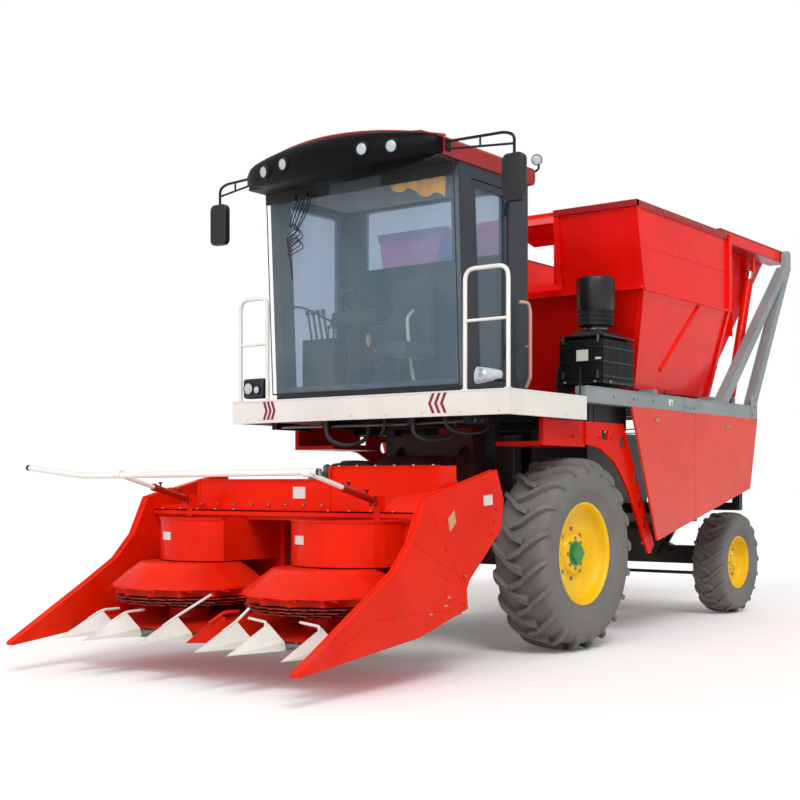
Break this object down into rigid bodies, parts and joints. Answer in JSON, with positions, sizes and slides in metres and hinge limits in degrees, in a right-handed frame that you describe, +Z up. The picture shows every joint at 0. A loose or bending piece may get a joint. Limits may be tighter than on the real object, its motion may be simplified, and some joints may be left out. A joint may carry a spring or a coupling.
{
  "type": "self-propelled forage harvester",
  "caption": "Self-propelled forage harvester: lifting two-rotor row header, cab, tipping crop bin on a raised frame, big front wheels and steered rear wheels",
  "frame": {"origin": "middle of the bounding box on the ground", "axes": "+Z up, the machine faces -Y, its left side is +X"},
  "size_m": [3.2456, 7.27, 3.66],
  "materials": {
    "red_paint": "gloss red enamel",
    "black_paint": "satin black enamel",
    "white_paint": "white enamel",
    "grey_paint": "grey enamel",
    "cab_paint": "dark blue-grey enamel",
    "rim_paint": "yellow enamel",
    "tyre_rubber": "moulded rubber, lugged tread",
    "cab_glass": "clear tinted",
    "rod_chrome": "polished rod",
    "black_plastic": "moulded black plastic",
    "seat_fabric": "woven seat cloth",
    "lamp_lens": "clear lens over reflector"
  },
  "bodies": {
    "chassis": {"chassis_frame": "black_paint", "front_axle": "black_paint", "rear_axle": "black_paint", "engine_block": "black_paint", "chopper_housing": "black_paint", "discharge_spout": "red_paint", "platform_deck": "grey_paint", "platform_skirt": "white_paint", "fuel_tank": "black_paint", "fender_left": "red_paint", "fender_right": "red_paint", "side_panel_left": "red_paint", "side_panel_right": "red_paint", "air_filter_housing": "black_plastic", "air_precleaner": "black_plastic", "cab_frame": "cab_paint", "windscreen": "cab_glass", "right_glass": "cab_glass", "rear_glass": "cab_glass", "cab_roof": "red_paint", "cab_visor": "black_plastic", "driver_seat": "seat_fabric", "steering_column": "black_plastic", "control_console": "black_plastic", "handrail_left": "white_paint", "handrail_right": "white_paint", "headlamp_left": "lamp_lens", "headlamp_right": "lamp_lens", "mirror_left": "black_plastic", "mirror_right": "black_plastic", "bin_frame": "grey_paint"},
    "front_wheel_left": {"front_tyre_left": "tyre_rubber", "front_rim_left": "rim_paint"},
    "front_wheel_right": {"front_tyre_right": "tyre_rubber", "front_rim_right": "rim_paint"},
    "knuckle_left": {"knuckle_left": "black_paint"},
    "knuckle_right": {"knuckle_right": "black_paint"},
    "tie_rod": {"tie_rod": "black_paint"},
    "rear_wheel_left": {"rear_tyre_left": "tyre_rubber", "rear_rim_left": "rim_paint"},
    "rear_wheel_right": {"rear_tyre_right": "tyre_rubber", "rear_rim_right": "rim_paint"},
    "header": {"feeder_house": "black_paint", "header_frame": "red_paint", "header_shield_left": "red_paint", "header_shield_right": "red_paint", "row_dividers": "white_paint", "push_bar": "white_paint"},
    "rotor_left": {"rotor_left": "red_paint"},
    "rotor_right": {"rotor_right": "red_paint"},
    "lift_barrel": {"lift_cylinder": "black_paint"},
    "lift_rod": {"lift_rod": "rod_chrome"},
    "door": {"cab_door": "cab_paint", "door_glass": "cab_glass"},
    "bin": {"bin_body": "red_paint"},
    "tip_barrels": {"tip_cylinder_left": "red_paint", "tip_cylinder_right": "red_paint"},
    "tip_rods": {"tip_rod_left": "rod_chrome", "tip_rod_right": "rod_chrome"}
  },
  "joints": [
    {"name": "front_wheel_left_spin", "type": "hinge", "parent": "chassis", "child": "front_wheel_left", "pos_m": [1.15031, -0.355, 0.71228], "axis": [1, 0, 0], "continuous": true},
    {"name": "front_wheel_right_spin", "type": "hinge", "parent": "chassis", "child": "front_wheel_right", "pos_m": [-0.84969, -0.355, 0.71228], "axis": [1, 0, 0], "continuous": true},
    {"name": "steer_left", "type": "hinge", "parent": "chassis", "child": "knuckle_left", "pos_m": [0.70031, 3.085, 0.5], "axis": [0, 0, 1], "range_deg": [-30, 30]},
    {"name": "steer_right", "type": "hinge", "parent": "chassis", "child": "knuckle_right", "pos_m": [-0.39969, 3.085, 0.5], "axis": [0, 0, 1], "range_deg": [-31, 31]},
    {"name": "tie_rod_swing", "type": "hinge", "parent": "knuckle_left", "child": "tie_rod", "pos_m": [0.70031, 3.255, 0.375], "axis": [0, 0, 1], "range_deg": [-31, 31]},
    {"name": "rear_wheel_left_spin", "type": "hinge", "parent": "knuckle_left", "child": "rear_wheel_left", "pos_m": [0.96031, 3.085, 0.48017], "axis": [1, 0, 0], "continuous": true},
    {"name": "rear_wheel_right_spin", "type": "hinge", "parent": "knuckle_right", "child": "rear_wheel_right", "pos_m": [-0.65969, 3.085, 0.48017], "axis": [1, 0, 0], "continuous": true},
    {"name": "header_lift", "type": "hinge", "parent": "chassis", "child": "header", "pos_m": [0.15031, -0.835, 1.25], "axis": [-1, 0, 0], "range_deg": [-3, 14]},
    {"name": "rotor_left_spin", "type": "hinge", "parent": "header", "child": "rotor_left", "pos_m": [0.75031, -2.63, 0.5], "axis": [0, 0, 1], "continuous": true},
    {"name": "rotor_right_spin", "type": "hinge", "parent": "header", "child": "rotor_right", "pos_m": [-0.44969, -2.63, 0.5], "axis": [0, 0, 1], "continuous": true},
    {"name": "lift_cylinder_swing", "type": "hinge", "parent": "chassis", "child": "lift_barrel", "pos_m": [0.15031, -0.52, 0.54], "axis": [-1, 0, 0], "range_deg": [-2.45, 10.35]},
    {"name": "lift_rod_slide", "type": "slide", "parent": "lift_barrel", "child": "lift_rod", "axis": [0, -0.9979, -0.0644], "range_m": [-0.0397, 0.1743]},
    {"name": "cab_door_hinge", "type": "hinge", "parent": "chassis", "child": "door", "pos_m": [1.02231, -0.918, 2.6], "axis": [0, 0, 1], "range_deg": [0, 80]},
    {"name": "bin_tip", "type": "hinge", "parent": "chassis", "child": "bin", "pos_m": [0.15031, 3.575, 3.43], "axis": [-1, 0, 0], "range_deg": [0, 75]},
    {"name": "tip_cylinder_swing", "type": "hinge", "parent": "chassis", "child": "tip_barrels", "pos_m": [0.15031, 2.545, 2], "axis": [-1, 0, 0], "range_deg": [-0.86, 0.3]},
    {"name": "tip_rod_slide", "type": "slide", "parent": "tip_barrels", "child": "tip_rods", "axis": [0, 0.3585, 0.9335], "range_m": [-0.003, 0.7074]}
  ],
  "couplings": [
    {"joint": "steer_right", "follows": "steer_left", "ratio": 1},
    {"joint": "tie_rod_swing", "follows": "steer_left", "ratio": -1},
    {"joint": "lift_cylinder_swing", "follows": "header_lift", "ratio": 0.7181},
    {"joint": "lift_rod_slide", "follows": "header_lift", "m_per_rad": 0.7011},
    {"joint": "tip_cylinder_swing", "follows": "bin_tip", "ratio": -0.0075},
    {"joint": "tip_rod_slide", "follows": "bin_tip", "m_per_rad": 0.5381}
  ]
}
